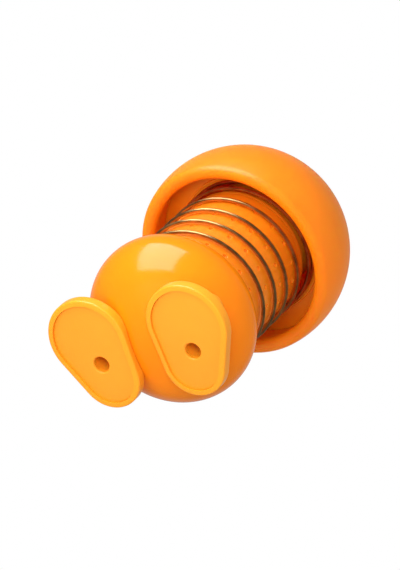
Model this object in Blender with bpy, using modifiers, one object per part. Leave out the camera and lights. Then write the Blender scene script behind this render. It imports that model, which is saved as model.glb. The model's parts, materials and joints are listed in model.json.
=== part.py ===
"""Press-action egg slicer: a ball on two feet, a sprung dome and a dimpled barrel.

The egg stands in a cup inside the ball. Pressing the dome drives a sleeve with six
blades down inside the barrel, and the coil spring lifts the dome again.
Metres, +Z up, origin in the sole plane under the figure's axis, toes towards -Y.
"""
from math import acos, atan2, cos, hypot, pi, radians, sin, sqrt

import bmesh
import bpy
from mathutils import Matrix, Vector

# ---- Driving dimensions ------------------------------------------------------------
GAP = 0.0003                 # between pieces that touch
TURN_STEPS = 40              # facets round a large turned piece
SMALL_STEPS = 16             # facets round a screw or a bore

BALL_Z = 0.0282              # centre of the lower ball
BALL_RADIUS = 0.0370
BALL_HALF_HEIGHT = 0.0256
BALL_WALL = 0.0024
NECK_TOP_Z = 0.0397
NECK_BORE = 0.0292
NECK_WIDE_BORE = 0.0322      # takes the barrel's plug
NECK_FOOT_Z = 0.0330
NECK_STEP_Z = 0.0361

DOME_Z = 0.0942              # centre of the dome
DOME_RADIUS = 0.0449
DOME_WALL = 0.0025
LIP_RADIUS = 0.0031
LIP_START = radians(12)      # how far below the dome's centre plane the lip starts
LIP_TO_RING_Z = 0.0994
RING_GROOVE_RADIUS = 0.0412
RING_GROOVE_DEPTH = 0.0010
RING_GROOVE_TOP_Z = 0.1024
DOME_STRAIGHT_RADIUS = 0.0403

BARREL_RADIUS = 0.0284
BARREL_BORE = 0.0264
BARREL_TOP_BORE = 0.0250
BARREL_FOOT_Z = 0.0354
BARREL_STEP_Z = 0.0716
BARREL_TOP_Z = 0.0910
BUMPER_HEIGHT = 0.0034       # stops the dome after 32 mm
COLLAR_FOOT_Z = 0.0400
COLLAR_TOP_Z = 0.0412
PLUG_RADIUS = 0.0319         # sits in the ball's neck
PLUG_FOOT_Z = 0.0364
WELL_FLOOR_Z = 0.0394        # the spring stands in a well in the collar
DIMPLE_RADIUS = 0.0010
DIMPLE_DEPTH = 0.0010
DIMPLES_IN_RING = 20
DIMPLE_PIN_LENGTH = 0.0030
DIMPLE_RING_Z = (0.0467, 0.0587, 0.0707, 0.0827)

SPRING_RADIUS = 0.0300
WIRE_RADIUS = 0.00085
SPRING_FOOT_Z = 0.0405
SPRING_TOP_Z = 0.0997
FLAT_TURNS = 0.60            # level wire at each end
RAMP_TURNS = 0.40
ACTIVE_TURNS = 4.91
SPRING_START = radians(98)
SPRING_POINTS_IN_TURN = 18

GUIDE_CLEARANCE = 0.0005
GUIDE_COLLAR_WALL = 0.0015
GUIDE_COLLAR_HEIGHT = 0.0030

SEAL_RADIUS = 0.03135
SEAL_WIRE = 0.00065
SEAL_Z = 0.0378

SLEEVE_RADIUS = 0.0247
SLEEVE_BORE = 0.0232
SLEEVE_FOOT_Z = 0.0716
SLEEVE_TOP_Z = 0.1240
SLEEVE_FLANGE = 0.0020
SLEEVE_FLANGE_BORE = 0.0100
SLEEVE_SCREW_CIRCLE = 0.0150
SLEEVE_SCREWS = 3
PLUNGER_SCREW_TIP_Z = 0.1310

BLADE_RING_RADIUS = 0.0261
BLADE_RING_BORE = 0.0222
BLADE_RING_FOOT_Z = 0.0680
BLADE_RING_HEIGHT = 0.0033
BLADE_REACH = 0.0229
BLADE_THICKNESS = 0.0007
BLADE_FOOT_Z = 0.0683
BLADE_TOP_Z = 0.0750
BLADE_EDGE = 0.0012
BLADE_BARS = 3               # full-width bars, so twice as many blades

CUP_TOP_Z = 0.0350
CUP_RADIUS = 0.0240
CUP_DEPTH = 0.0245
CUP_WALL = 0.0020
CUP_FLANGE_RADIUS = 0.0289
PAD_RADIUS = 0.0095
PAD_THICKNESS = 0.0012

FOOT_SCREW_X = 0.0230        # each foot's screw axis
FOOT_SCREW_Y = 0.0049
TOE_CENTRE = (0.0248, -0.0066)
TOE_RADIUS = 0.0157
HEEL_CENTRE = (0.0212, 0.0104)
HEEL_RADIUS = 0.0115
SOLE_RIM = 0.0029            # from the plate's outline out to the foot's outline
FOOT_THICKNESS = 0.0050
FOOT_ROUNDING = 0.0010
ANKLE_INSET = 0.0070         # the ankle's outline inside the plate's outline
ANKLE_TOP_Z = 0.0180
SOLE_RECESS = 0.0008
SOLE_THICKNESS = 0.0012
SOLE_HOLE = 0.0035
SPIGOT_RADIUS = 0.0050
SPIGOT_TOP_Z = 0.0152
FOOT_SEAT_Z = 0.0126
BOSS_RADIUS = 0.0034
BOSS_FOOT_Z = 0.0155
BOSS_TOP_Z = 0.0270
BOSS_HOLE_TOP_Z = 0.0230
SCREW_RADIUS = 0.00145
SCREW_HOLE = 0.00175
SCREW_HEAD_RADIUS = 0.0029
SCREW_HEAD_HEIGHT = 0.0018
SCREW_FACE_RADIUS = 0.0020

# Colours of the materials
ORANGE = (0.95, 0.38, 0.02)
PALE_ORANGE = (0.98, 0.45, 0.06)
STEEL = (0.62, 0.62, 0.60)
BRONZE = (0.42, 0.24, 0.09)
RUBBER = (0.05, 0.05, 0.05)
SILICONE = (0.85, 0.82, 0.76)

UP = Vector((0, 0, 1))


# ---- Scene, materials and objects --------------------------------------------------
def clear_scene():
    for thing in list(bpy.data.objects):
        bpy.data.objects.remove(thing, do_unlink=True)


def new_collection(name):
    collection = bpy.data.collections.new(name)
    bpy.context.scene.collection.children.link(collection)
    return collection


clear_scene()
PARTS = new_collection("egg_slicer")
CUTTERS = new_collection("cutters")


def paint(piece, colour, roughness=0.25, metallic=0.0):
    material = bpy.data.materials.new(piece.name)
    material.use_nodes = True
    shader = material.node_tree.nodes["Principled BSDF"]
    shader.inputs["Base Color"].default_value = (*colour, 1)
    shader.inputs["Roughness"].default_value = roughness
    shader.inputs["Metallic"].default_value = metallic
    piece.data.materials.clear()
    piece.data.materials.append(material)


def add_object(name, data, collection):
    thing = bpy.data.objects.new(name, data)
    collection.objects.link(thing)
    return thing


def hide_as_tool(thing):
    for collection in list(thing.users_collection):
        collection.objects.unlink(thing)
    CUTTERS.objects.link(thing)
    thing.hide_render = True
    thing.display_type = "WIRE"
    return thing


def combine(piece, tool, operation):
    hide_as_tool(tool)
    step = piece.modifiers.new(operation.lower() + "_" + tool.name, "BOOLEAN")
    step.operation = operation
    step.solver = "EXACT"
    step.object = tool


def cut(piece, tool):
    combine(piece, tool, "DIFFERENCE")


def join(piece, tool):
    combine(piece, tool, "UNION")


# ---- Shapes ------------------------------------------------------------------------
def turned(name, profile, steps=TURN_STEPS, closed=True):
    """A turned piece: (radius, z) points that run down the outer side, then up inside."""
    mesh = bpy.data.meshes.new(name)
    edges = [(i, i + 1) for i in range(len(profile) - 1)]
    if closed:
        edges.append((len(profile) - 1, 0))
    mesh.from_pydata([(radius, 0, z) for radius, z in profile], edges, [])
    piece = add_object(name, mesh, PARTS)
    screw = piece.modifiers.new("turn", "SCREW")
    screw.axis = "Z"
    screw.angle = 2 * pi
    screw.steps = steps
    screw.render_steps = steps
    screw.use_merge_vertices = True
    screw.merge_threshold = 1e-6
    return piece


def cylinder(name, radius, z_low, z_high, x=0.0, y=0.0, steps=SMALL_STEPS):
    mesh = bpy.data.meshes.new(name)
    form = bmesh.new()
    bmesh.ops.create_cone(form, cap_ends=True, segments=steps, radius1=radius,
                          radius2=radius, depth=z_high - z_low)
    form.to_mesh(mesh)
    form.free()
    piece = add_object(name, mesh, PARTS)
    piece.location = (x, y, (z_low + z_high) / 2)
    return piece


def spheroid(name, radius, half_height, z):
    mesh = bpy.data.meshes.new(name)
    form = bmesh.new()
    bmesh.ops.create_uvsphere(form, u_segments=TURN_STEPS, v_segments=SMALL_STEPS, radius=1)
    bmesh.ops.scale(form, vec=(radius, radius, half_height), verts=form.verts)
    form.to_mesh(mesh)
    form.free()
    piece = add_object(name, mesh, PARTS)
    piece.location.z = z
    return piece


def plate(name, outline, thickness, placing):
    """A flat closed outline given a thickness, with one face on each flat side."""
    curve = bpy.data.curves.new(name, "CURVE")
    curve.dimensions = "2D"
    curve.fill_mode = "BOTH"
    curve.extrude = thickness / 2
    spline = curve.splines.new("POLY")
    spline.points.add(len(outline) - 1)
    for point, (x, y) in zip(spline.points, outline):
        point.co = (x, y, 0, 1)
    spline.use_cyclic_u = True
    guide = add_object(name + "_outline", curve, PARTS)
    bpy.context.view_layer.update()
    evaluated = guide.evaluated_get(bpy.context.evaluated_depsgraph_get())
    mesh = bpy.data.meshes.new_from_object(evaluated)
    bpy.data.objects.remove(guide)
    form = bmesh.new()
    form.from_mesh(mesh)
    bmesh.ops.remove_doubles(form, verts=form.verts, dist=1e-6)
    bmesh.ops.dissolve_limit(form, angle_limit=radians(1), verts=form.verts, edges=form.edges)
    bmesh.ops.recalc_face_normals(form, faces=form.faces)
    form.to_mesh(mesh)
    form.free()
    mesh.name = name
    piece = add_object(name, mesh, PARTS)
    piece.matrix_world = placing
    return piece


def round_edges(piece, width, segments=2):
    bevel = piece.modifiers.new("round", "BEVEL")
    bevel.width = width
    bevel.segments = segments
    bevel.limit_method = "ANGLE"
    bevel.angle_limit = radians(50)


def arc(centre, radius, start, end, steps):
    """Points on a circle from one angle to another, both ends included."""
    points = []
    for i in range(steps + 1):
        angle = start + (end - start) * i / steps
        points.append((centre[0] + radius * cos(angle), centre[1] + radius * sin(angle)))
    return points


def ellipse_arc(radius, half_height, z, start, end, steps):
    """(radius, z) points on an upright ellipse about the Z axis."""
    points = []
    for i in range(steps + 1):
        angle = start + (end - start) * i / steps
        points.append((max(0.0, radius * cos(angle)), z + half_height * sin(angle)))
    return points


def ellipse_angle(half_height, z, at_z):
    return atan2((at_z - z) / half_height, sqrt(1 - ((at_z - z) / half_height) ** 2))


def sphere_height(radius, out):
    """Height over the dome's centre of a sphere at a distance out from the axis."""
    return DOME_Z + sqrt(radius ** 2 - out ** 2)


# ---- Ball and cup ------------------------------------------------------------------
def foot_sides():
    """The figure's left foot is at +X and its right foot at -X."""
    return (("left", 1), ("right", -1))


def make_body_bowl():
    inner_radius = BALL_RADIUS - BALL_WALL
    inner_half = BALL_HALF_HEIGHT - BALL_WALL
    shoulder = ellipse_angle(inner_half, BALL_Z, NECK_FOOT_Z)
    mouth = ellipse_angle(BALL_HALF_HEIGHT, BALL_Z, NECK_TOP_Z)
    profile = ellipse_arc(inner_radius, inner_half, BALL_Z, -pi / 2, shoulder, 9)
    profile += [(NECK_BORE, NECK_FOOT_Z), (NECK_BORE, NECK_STEP_Z),
                (NECK_WIDE_BORE, NECK_STEP_Z), (NECK_WIDE_BORE, NECK_TOP_Z)]
    profile += ellipse_arc(BALL_RADIUS, BALL_HALF_HEIGHT, BALL_Z, mouth, -pi / 2, 12)
    bowl = turned("body_bowl", profile, closed=False)
    for side, sign in foot_sides():
        cut(bowl, cylinder("bowl_hole_" + side, SPIGOT_RADIUS + GAP, 0, SPIGOT_TOP_Z,
                           sign * FOOT_SCREW_X, FOOT_SCREW_Y))
    paint(bowl, ORANGE, 0.15)


def make_egg_cup():
    outer_radius = CUP_RADIUS + CUP_WALL
    outer_depth = CUP_DEPTH + CUP_WALL
    flange_foot = CUP_TOP_Z - CUP_WALL
    rim = ellipse_angle(outer_depth, CUP_TOP_Z, flange_foot)
    profile = [(0, CUP_TOP_Z), (CUP_FLANGE_RADIUS, CUP_TOP_Z), (CUP_FLANGE_RADIUS, flange_foot)]
    profile += ellipse_arc(outer_radius, outer_depth, CUP_TOP_Z, rim, -pi / 2, 8)
    cup = turned("egg_cup", profile, closed=False)
    for side, sign in foot_sides():
        join(cup, cylinder("cup_boss_" + side, BOSS_RADIUS, BOSS_FOOT_Z, BOSS_TOP_Z,
                           sign * FOOT_SCREW_X, FOOT_SCREW_Y))
    cut(cup, spheroid("cup_hollow", CUP_RADIUS, CUP_DEPTH, CUP_TOP_Z))
    for side, sign in foot_sides():
        cut(cup, cylinder("cup_screw_hole_" + side, SCREW_HOLE, 0, BOSS_HOLE_TOP_Z,
                          sign * FOOT_SCREW_X, FOOT_SCREW_Y))
    paint(cup, PALE_ORANGE, 0.3)


def make_cup_pad():
    outer = CUP_RADIUS - 2 * GAP
    depth = CUP_DEPTH - 2 * GAP
    start = -acos(PAD_RADIUS / outer)
    under = ellipse_arc(outer, depth, CUP_TOP_Z, start, -pi / 2, 5)
    over = ellipse_arc(outer, depth - PAD_THICKNESS, CUP_TOP_Z, -pi / 2, start, 5)
    paint(turned("cup_pad", over + under, 24, closed=False), SILICONE, 0.6)


# ---- Feet --------------------------------------------------------------------------
def sole_outline(sign, grow):
    """Toe circle and heel circle joined by their common tangents, grown by an offset."""
    run = (HEEL_CENTRE[0] - TOE_CENTRE[0], HEEL_CENTRE[1] - TOE_CENTRE[1])
    heading = atan2(run[1], run[0])
    lean = acos((TOE_RADIUS - HEEL_RADIUS) / hypot(*run))
    toe = arc(TOE_CENTRE, TOE_RADIUS + grow, heading + lean, heading + 2 * pi - lean, 16)
    heel = arc(HEEL_CENTRE, HEEL_RADIUS + grow, heading - lean, heading + lean, 8)
    return [(sign * x, y) for x, y in toe + heel]


def sole_plate(name, sign, grow, z_low, z_high):
    placing = Matrix.Translation((0, 0, (z_low + z_high) / 2))
    return plate(name, sole_outline(sign, grow), z_high - z_low, placing)


def make_foot(side, sign):
    x, y = sign * FOOT_SCREW_X, FOOT_SCREW_Y
    foot = sole_plate(side + "_foot", sign, SOLE_RIM, 0, FOOT_THICKNESS)
    round_edges(foot, FOOT_ROUNDING)
    join(foot, sole_plate("ankle_" + side, sign, -ANKLE_INSET, FOOT_THICKNESS / 2, ANKLE_TOP_Z))
    cut(foot, spheroid("ball_room_" + side, BALL_RADIUS + GAP, BALL_HALF_HEIGHT + GAP, BALL_Z))
    join(foot, cylinder("spigot_" + side, SPIGOT_RADIUS, FOOT_THICKNESS / 2, SPIGOT_TOP_Z, x, y))
    cut(foot, sole_plate("pocket_" + side, sign, GAP, -SOLE_RECESS,
                         SOLE_RECESS + SOLE_THICKNESS + GAP))
    cut(foot, cylinder("foot_bore_" + side, SOLE_HOLE, 0, FOOT_SEAT_Z, x, y))
    cut(foot, cylinder("foot_hole_" + side, SCREW_HOLE, 0, ANKLE_TOP_Z, x, y))
    paint(foot, PALE_ORANGE, 0.3)


def make_sole(side, sign):
    sole = sole_plate(side + "_sole", sign, 0, SOLE_RECESS, SOLE_RECESS + SOLE_THICKNESS)
    cut(sole, cylinder("sole_hole_" + side, SOLE_HOLE, 0, SPIGOT_TOP_Z,
                       sign * FOOT_SCREW_X, FOOT_SCREW_Y))
    paint(sole, PALE_ORANGE, 0.35)


# ---- Screws ------------------------------------------------------------------------
def screw_profile(seat_z, tip_z):
    """A pan-head screw that points up: its head hangs a gap below the seat."""
    top = seat_z - GAP
    foot = top - SCREW_HEAD_HEIGHT
    return [(0, tip_z), (SCREW_RADIUS / 2, tip_z), (SCREW_RADIUS, tip_z - SCREW_RADIUS),
            (SCREW_RADIUS, top), (SCREW_HEAD_RADIUS, top),
            (SCREW_HEAD_RADIUS, foot + SCREW_HEAD_HEIGHT / 3),
            (SCREW_FACE_RADIUS, foot), (0, foot)]


def make_screw(name, seat_z, tip_z, x, y):
    screw = turned(name, screw_profile(seat_z, tip_z), SMALL_STEPS, closed=False)
    screw.location = (x, y, 0)
    paint(screw, STEEL, 0.3, 1.0)


# ---- Barrel unit -------------------------------------------------------------------
def make_barrel():
    collar_foot = BALL_RADIUS * cos(ellipse_angle(BALL_HALF_HEIGHT, BALL_Z, COLLAR_FOOT_Z))
    collar_top = BALL_RADIUS * cos(ellipse_angle(BALL_HALF_HEIGHT, BALL_Z, COLLAR_TOP_Z))
    groove = SEAL_RADIUS - SEAL_WIRE - GAP
    groove_half = SEAL_WIRE + GAP
    well = SPRING_RADIUS + WIRE_RADIUS + GAP
    profile = [(BARREL_RADIUS, BARREL_TOP_Z), (BARREL_RADIUS, WELL_FLOOR_Z),
               (well, WELL_FLOOR_Z), (well, COLLAR_TOP_Z),
               (collar_top, COLLAR_TOP_Z), (collar_foot, COLLAR_FOOT_Z),
               (PLUG_RADIUS, COLLAR_FOOT_Z), (PLUG_RADIUS, SEAL_Z + groove_half),
               (groove, SEAL_Z + groove_half), (groove, SEAL_Z - groove_half),
               (PLUG_RADIUS, SEAL_Z - groove_half), (PLUG_RADIUS, PLUG_FOOT_Z),
               (BARREL_RADIUS, PLUG_FOOT_Z), (BARREL_RADIUS, BARREL_FOOT_Z),
               (BARREL_BORE, BARREL_FOOT_Z), (BARREL_BORE, BARREL_STEP_Z),
               (BARREL_TOP_BORE, BARREL_STEP_Z), (BARREL_TOP_BORE, BARREL_TOP_Z)]
    barrel = turned("barrel", profile)
    cut(barrel, make_dimple_pins())
    paint(barrel, ORANGE, 0.3)


def make_dimple_pins():
    """Radial pins for the rings of small dimples, every other ring half a step round."""
    form = bmesh.new()
    middle = BARREL_RADIUS - DIMPLE_DEPTH + DIMPLE_PIN_LENGTH / 2
    for ring, z in enumerate(DIMPLE_RING_Z):
        for i in range(DIMPLES_IN_RING):
            angle = 2 * pi * (i + ring % 2 / 2) / DIMPLES_IN_RING
            place = Matrix.Rotation(angle, 4, "Z") @ Matrix.Translation((middle, 0, z))
            turn = place @ Matrix.Rotation(pi / 2, 4, "Y")
            bmesh.ops.create_cone(form, cap_ends=True, segments=6, radius1=DIMPLE_RADIUS,
                                  radius2=DIMPLE_RADIUS, depth=DIMPLE_PIN_LENGTH, matrix=turn)
    mesh = bpy.data.meshes.new("dimple_pins")
    form.to_mesh(mesh)
    form.free()
    return add_object("dimple_pins", mesh, PARTS)


def ring(name, bore, radius, z_low, z_high):
    return turned(name, [(radius, z_high), (radius, z_low), (bore, z_low), (bore, z_high)])


def make_collar_seal():
    seal = turned("collar_seal", arc((SEAL_RADIUS, SEAL_Z), SEAL_WIRE, 0, -2 * pi, 6)[:-1])
    paint(seal, RUBBER, 0.6)


def make_spring_washer():
    edge = SPRING_RADIUS + WIRE_RADIUS
    washer = ring("spring_washer", BARREL_RADIUS + GAP, edge, WELL_FLOOR_Z + GAP,
                  SPRING_FOOT_Z - GAP)
    paint(washer, STEEL, 0.3, 1.0)


def make_stroke_bumper():
    z = BARREL_TOP_Z + GAP
    top = z + BUMPER_HEIGHT
    bore = BARREL_TOP_BORE + GAP
    edge = BARREL_RADIUS - GAP
    shoulder = z + BUMPER_HEIGHT / 2
    bumper = turned("stroke_bumper", [(edge - BUMPER_HEIGHT / 2, top), (edge, shoulder),
                                      (edge, z), (bore, z), (bore, top)])
    paint(bumper, RUBBER, 0.7)


def spring_height(turns, pitch):
    """Height gained after some turns: level wire, ramp, open coil, ramp, level wire."""
    height = 0.0
    stages = ((FLAT_TURNS, 0, 0), (RAMP_TURNS, 0, pitch), (ACTIVE_TURNS, pitch, pitch),
              (RAMP_TURNS, pitch, 0), (FLAT_TURNS, 0, 0))
    for length, pitch_in, pitch_out in stages:
        run = min(turns, length)
        height += run * pitch_in + (pitch_out - pitch_in) * run ** 2 / (2 * length)
        turns -= run
    return height


def make_return_spring():
    total = 2 * FLAT_TURNS + 2 * RAMP_TURNS + ACTIVE_TURNS
    rise = SPRING_TOP_Z - SPRING_FOOT_Z - 2 * WIRE_RADIUS
    pitch = rise / (ACTIVE_TURNS + RAMP_TURNS)
    curve = bpy.data.curves.new("return_spring", "CURVE")
    curve.dimensions = "3D"
    curve.bevel_depth = WIRE_RADIUS
    curve.bevel_resolution = 2
    curve.use_fill_caps = True
    spline = curve.splines.new("POLY")
    count = round(total * SPRING_POINTS_IN_TURN)
    spline.points.add(count)
    for i, point in enumerate(spline.points):
        turns = total * i / count
        angle = SPRING_START + 2 * pi * turns
        z = SPRING_FOOT_Z + WIRE_RADIUS + spring_height(turns, pitch)
        point.co = (SPRING_RADIUS * cos(angle), SPRING_RADIUS * sin(angle), z, 1)
    paint(add_object("return_spring", curve, PARTS), BRONZE, 0.25, 1.0)


# ---- Head unit ---------------------------------------------------------------------
def dome_profile():
    inner = DOME_RADIUS - DOME_WALL
    lip_centre_out = DOME_RADIUS - LIP_RADIUS
    lip_centre = (lip_centre_out * cos(LIP_START), DOME_Z - lip_centre_out * sin(LIP_START))
    ledge = RING_GROOVE_RADIUS - RING_GROOVE_DEPTH
    straight_top = acos(DOME_STRAIGHT_RADIUS / inner)
    profile = ellipse_arc(DOME_RADIUS, DOME_RADIUS, DOME_Z, pi / 2, -LIP_START, 14)
    profile += arc(lip_centre, LIP_RADIUS, -LIP_START, -pi, 6)[1:]
    profile += [(ledge, LIP_TO_RING_Z), (RING_GROOVE_RADIUS, LIP_TO_RING_Z),
                (RING_GROOVE_RADIUS, RING_GROOVE_TOP_Z), (DOME_STRAIGHT_RADIUS, RING_GROOVE_TOP_Z)]
    profile += ellipse_arc(inner, inner, DOME_Z, straight_top, pi / 2, 9)
    return profile


def sleeve_screw_places():
    places = []
    for i in range(SLEEVE_SCREWS):
        angle = 2 * pi * i / SLEEVE_SCREWS + pi / 6
        places.append((SLEEVE_SCREW_CIRCLE * cos(angle), SLEEVE_SCREW_CIRCLE * sin(angle)))
    return places


def make_head_shell():
    head = turned("head_shell", dome_profile(), closed=False)
    boss_top = sphere_height(DOME_RADIUS, SLEEVE_SCREW_CIRCLE + BOSS_RADIUS) - GAP
    hole_top = PLUNGER_SCREW_TIP_Z + GAP
    for i, (x, y) in enumerate(sleeve_screw_places()):
        join(head, cylinder(f"head_boss_{i}", BOSS_RADIUS, SLEEVE_TOP_Z + GAP, boss_top, x, y))
    for i, (x, y) in enumerate(sleeve_screw_places()):
        cut(head, cylinder(f"head_hole_{i}", SCREW_HOLE, SLEEVE_TOP_Z - GAP, hole_top, x, y))
    paint(head, ORANGE, 0.15)


def make_guide_ring():
    z = SPRING_TOP_Z + GAP
    top = RING_GROOVE_TOP_Z - GAP
    bore = BARREL_RADIUS + GUIDE_CLEARANCE
    collar = bore + GUIDE_COLLAR_WALL
    collar_top = top + GUIDE_COLLAR_HEIGHT
    edge = RING_GROOVE_RADIUS - GAP
    locator = SPRING_RADIUS + WIRE_RADIUS + 2 * GAP
    rib = locator + WIRE_RADIUS
    rib_foot = z - WIRE_RADIUS
    profile = [(collar, collar_top), (collar, top), (edge, top), (edge, z), (rib, z),
               (rib, rib_foot), (locator, rib_foot), (locator, z), (bore, z), (bore, collar_top)]
    paint(turned("guide_ring", profile), ORANGE, 0.3)


def make_plunger_sleeve():
    flange_foot = SLEEVE_TOP_Z - SLEEVE_FLANGE
    profile = [(SLEEVE_RADIUS, SLEEVE_TOP_Z), (SLEEVE_RADIUS, SLEEVE_FOOT_Z),
               (SLEEVE_BORE, SLEEVE_FOOT_Z), (SLEEVE_BORE, flange_foot),
               (SLEEVE_FLANGE_BORE, flange_foot), (SLEEVE_FLANGE_BORE, SLEEVE_TOP_Z)]
    sleeve = turned("plunger_sleeve", profile)
    for i, (x, y) in enumerate(sleeve_screw_places()):
        cut(sleeve, cylinder(f"sleeve_hole_{i}", SCREW_HOLE, flange_foot - GAP,
                             SLEEVE_TOP_Z + GAP, x, y))
    paint(sleeve, PALE_ORANGE, 0.3)


def blade_bar(name, angle, half_thickness, reach, z_low, z_high, edge):
    """One full-width bar through the axis; an edge above 0 gives it a V at the bottom."""
    if edge:
        foot = [(-half_thickness, z_low + edge), (0, z_low), (half_thickness, z_low + edge)]
    else:
        foot = [(-half_thickness, z_low), (half_thickness, z_low)]
    outline = foot + [(half_thickness, z_high), (-half_thickness, z_high)]
    upright = Matrix.Rotation(angle, 4, "Z") @ Matrix(((0, 0, 1, 0), (1, 0, 0, 0),
                                                      (0, 1, 0, 0), (0, 0, 0, 1)))
    return plate(name, outline, 2 * reach, upright)


def bar_angles():
    return [pi * i / BLADE_BARS for i in range(BLADE_BARS)]


def make_blade_ring():
    top = BLADE_RING_FOOT_Z + BLADE_RING_HEIGHT
    blade_ring = ring("blade_ring", BLADE_RING_BORE, BLADE_RING_RADIUS, BLADE_RING_FOOT_Z, top)
    for i, angle in enumerate(bar_angles()):
        slot = blade_bar(f"blade_slot_{i}", angle, BLADE_THICKNESS / 2 + GAP, BLADE_REACH + GAP,
                         BLADE_RING_FOOT_Z - GAP, top + GAP, 0)
        cut(blade_ring, slot)
    paint(blade_ring, PALE_ORANGE, 0.3)


def make_wedge_blades():
    blades = None
    for i, angle in enumerate(bar_angles()):
        name = "wedge_blades" if i == 0 else f"blade_bar_{i}"
        bar = blade_bar(name, angle, BLADE_THICKNESS / 2, BLADE_REACH, BLADE_FOOT_Z,
                        BLADE_TOP_Z, BLADE_EDGE)
        if blades is None:
            blades = bar
        else:
            join(blades, bar)
    paint(blades, STEEL, 0.2, 1.0)


# ---- Assembly ----------------------------------------------------------------------
def place_on_joint(names, label, z):
    """Parent pieces to an empty on the axis they slide along."""
    axis = add_object(label, None, PARTS)
    axis.location = UP * z
    for name in names:
        piece = bpy.data.objects[name]
        piece.parent = axis
        piece.matrix_parent_inverse = Matrix.Translation(-axis.location)
    return axis


def shade(pieces):
    for piece in pieces:
        if piece.type == "MESH" and piece.data.polygons:
            piece.data.shade_smooth()
            piece.data.set_sharp_from_angle(angle=radians(30))


def main():
    make_body_bowl()
    make_egg_cup()
    make_cup_pad()
    for side, sign in foot_sides():
        make_foot(side, sign)
        make_sole(side, sign)
        make_screw(side + "_foot_screw", FOOT_SEAT_Z, BOSS_HOLE_TOP_Z - 2 * GAP,
                   sign * FOOT_SCREW_X, FOOT_SCREW_Y)
    make_barrel()
    make_collar_seal()
    make_spring_washer()
    make_stroke_bumper()
    make_return_spring()
    make_head_shell()
    make_guide_ring()
    make_plunger_sleeve()
    for i, (x, y) in enumerate(sleeve_screw_places(), 1):
        make_screw(f"plunger_screw_{i}", SLEEVE_TOP_Z - SLEEVE_FLANGE, PLUNGER_SCREW_TIP_Z, x, y)
    make_blade_ring()
    make_wedge_blades()
    barrel_axis = place_on_joint(("barrel", "collar_seal", "spring_washer", "stroke_bumper",
                                  "return_spring"), "barrel_lift_axis", COLLAR_FOOT_Z)
    screws = [f"plunger_screw_{i + 1}" for i in range(SLEEVE_SCREWS)]
    head_axis = place_on_joint(["head_shell", "guide_ring", "plunger_sleeve", "blade_ring",
                                "wedge_blades"] + screws, "head_press_axis", DOME_Z)
    head_axis.parent = barrel_axis
    head_axis.matrix_parent_inverse = Matrix.Translation(-barrel_axis.location)
    shade(PARTS.objects)


main()
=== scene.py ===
"""Finished look of a press-action egg slicer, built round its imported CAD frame.

Every shape is modelled with Blender's own tools at its real size, in metres, +Z up.
"""
import json
from math import acos, atan2, cos, pi, radians, sin, sqrt, tan

import bmesh
import bpy
from mathutils import Matrix, Quaternion, Vector


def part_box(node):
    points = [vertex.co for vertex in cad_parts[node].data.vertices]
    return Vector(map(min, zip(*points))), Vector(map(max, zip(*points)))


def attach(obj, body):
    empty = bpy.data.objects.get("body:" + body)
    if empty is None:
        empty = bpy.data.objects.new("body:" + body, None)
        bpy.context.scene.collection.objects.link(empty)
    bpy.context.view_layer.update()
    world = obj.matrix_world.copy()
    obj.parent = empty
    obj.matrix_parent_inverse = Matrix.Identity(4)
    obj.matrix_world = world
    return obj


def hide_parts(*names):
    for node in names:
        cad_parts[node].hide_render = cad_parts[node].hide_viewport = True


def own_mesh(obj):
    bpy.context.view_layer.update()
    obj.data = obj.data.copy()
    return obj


bl_info = {
    "name": "Press-action Egg Slicer",
    "version": (1, 0, 0),
    "blender": (4, 5, 0),
    "location": "3D View > Sidebar > Egg Slicer",
    "description": "Builds the smooth pieces, finishes and studio of a press-action egg slicer",
    "category": "Add Mesh",
}

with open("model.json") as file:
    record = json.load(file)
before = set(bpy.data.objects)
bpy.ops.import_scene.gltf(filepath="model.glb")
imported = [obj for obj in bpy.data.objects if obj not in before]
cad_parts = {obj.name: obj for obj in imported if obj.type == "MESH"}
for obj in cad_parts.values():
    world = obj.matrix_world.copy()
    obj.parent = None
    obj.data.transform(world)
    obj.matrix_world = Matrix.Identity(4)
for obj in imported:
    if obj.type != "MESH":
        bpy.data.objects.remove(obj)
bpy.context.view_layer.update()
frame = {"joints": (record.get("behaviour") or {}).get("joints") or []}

# ---- Sizes read from the frame -----------------------------------------------------
BALL_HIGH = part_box("body_bowl")[1]
BARREL_LOW, BARREL_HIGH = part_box("barrel")
CUP_LOW, CUP_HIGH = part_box("egg_cup")
DOME_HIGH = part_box("head_shell")[1]
SPRING_LOW, SPRING_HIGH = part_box("return_spring")
SLEEVE_LOW, SLEEVE_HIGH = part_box("plunger_sleeve")
BLADE_RING_LOW, BLADE_RING_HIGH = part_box("blade_ring")
BLADES_LOW, BLADES_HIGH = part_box("wedge_blades")
SEAL_LOW, SEAL_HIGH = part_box("collar_seal")
WASHER_LOW, WASHER_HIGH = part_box("spring_washer")
BUMPER_LOW, BUMPER_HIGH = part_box("stroke_bumper")
GUIDE_LOW, GUIDE_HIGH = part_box("guide_ring")
FOOT_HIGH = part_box("left_foot")[1]
SOLE_LOW, SOLE_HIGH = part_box("left_sole")
FOOT_SCREW_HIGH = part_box("left_foot_screw")[1]
PLUNGER_SCREW_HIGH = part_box("plunger_screw_1")[1]

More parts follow.
